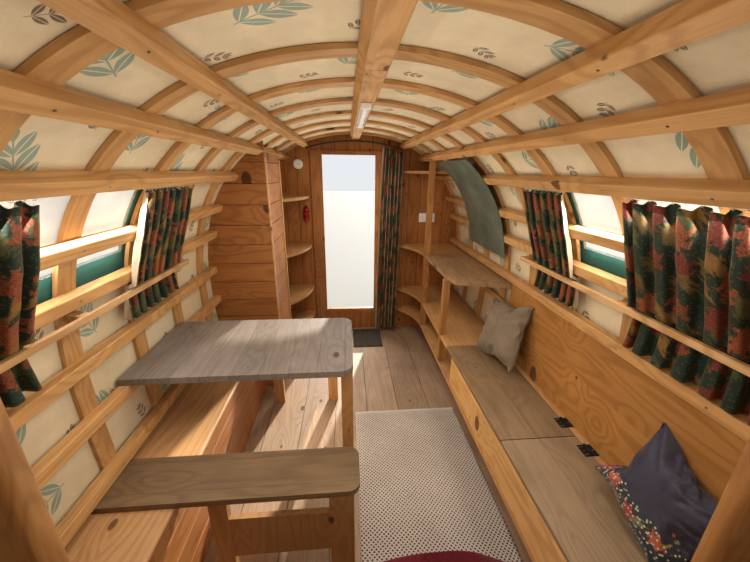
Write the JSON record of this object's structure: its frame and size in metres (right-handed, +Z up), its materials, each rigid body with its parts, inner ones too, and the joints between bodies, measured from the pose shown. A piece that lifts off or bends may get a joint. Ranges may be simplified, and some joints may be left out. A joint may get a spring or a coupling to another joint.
{
  "type": "bow-top wagon living cabin",
  "caption": "Living cabin of a bow-top wagon: canvas roof on wooden hoops over bench lockers, a kitchen counter, table, seats, wardrobe and raised bed, with split doors on the porch.",
  "frame": {"origin": "centre of the bounding box on the ground under the sole bars", "axes": "+Y from the bed to the porch along the cabin, +X to the bench side, +Z up"},
  "size_m": [2.1, 4.56, 2.091],
  "materials": {
    "chassis_timber": "matte",
    "floor_timber": "matte",
    "side_paint": "satin",
    "bracket_paint": "satin",
    "door_paint": "satin",
    "pine": "satin",
    "wall_timber": "satin",
    "table_timber": "matte",
    "printed_lining": "matte",
    "green_canvas": "matte",
    "clear_panel": "glossy",
    "sheet_steel": "satin",
    "black_iron": "matte",
    "bed_cloth": "matte",
    "curtain_cloth": "matte",
    "rug_wool": "matte",
    "mat_fibre": "matte",
    "taupe_cloth": "matte",
    "navy_cloth": "satin",
    "white_plastic": "satin"
  },
  "bodies": {
    "cabin": {"base_shelf": "pine", "bed_base": "pine", "bench_back": "pine", "bench_ends": "pine", "bench_front": "pine", "board_legs": "table_timber", "bow_ribs": "pine", "canvas_cover": "green_canvas", "ceiling_light": "white_plastic", "cheek_boards": "pine", "corner_shelves": "pine", "counter_posts": "pine", "counter_shelf": "pine", "cross_bearers": "chassis_timber", "crown_boards": "bracket_paint", "curtain_rails": "pine", "cushion_far": "taupe_cloth", "cushion_near": "navy_cloth", "door_curtain": "curtain_cloth", "door_frame": "pine", "door_pintles": "black_iron", "doormat": "mat_fibre", "floor_boards": "floor_timber", "front_wall": "wall_timber", "heat_shield": "sheet_steel", "ledge_brackets": "bracket_paint", "ledge_left": "pine", "ledge_right": "pine", "lid_hinges": "black_iron", "lining": "printed_lining", "mattress": "bed_cloth", "purlins": "pine", "rear_sash": "bracket_paint", "rear_wall": "wall_timber", "ridge_beam": "pine", "rug": "rug_wool", "seat_tops": "table_timber", "side_boards": "side_paint", "sole_bars": "chassis_timber", "table_top": "table_timber", "wall_fittings": "white_plastic", "wardrobe_front": "wall_timber", "wardrobe_side": "wall_timber", "wardrobe_stiles": "pine", "window_curtains": "curtain_cloth", "window_panels": "clear_panel", "worktop": "pine"},
    "door_upper": {"door_upper": "door_paint", "door_straps_upper": "black_iron"},
    "door_lower": {"door_lower": "door_paint", "door_straps_lower": "black_iron"},
    "lid_far": {"lid_far": "pine", "lid_leaves_far": "black_iron"},
    "lid_near": {"lid_near": "pine", "lid_leaves_near": "black_iron"}
  },
  "joints": [
    {"name": "door_upper_hinge", "type": "hinge", "parent": "cabin", "child": "door_upper", "pos_m": [-0.315, 1.766, 1.507], "axis": [0, 0, 1], "range_deg": [-100, 4]},
    {"name": "door_lower_hinge", "type": "hinge", "parent": "cabin", "child": "door_lower", "pos_m": [-0.315, 1.766, 0.747], "axis": [0, 0, 1], "range_deg": [-100, 28]},
    {"name": "lid_far_hinge", "type": "hinge", "parent": "cabin", "child": "lid_far", "pos_m": [0.945, 0.0688, 0.6325], "axis": [0, 1, 0], "range_deg": [0, 85], "deforming": ["cushion_far"]},
    {"name": "lid_near_hinge", "type": "hinge", "parent": "cabin", "child": "lid_near", "pos_m": [0.945, -0.6697, 0.6325], "axis": [0, 1, 0], "range_deg": [0, 85], "deforming": ["cushion_near"]}
  ]
}
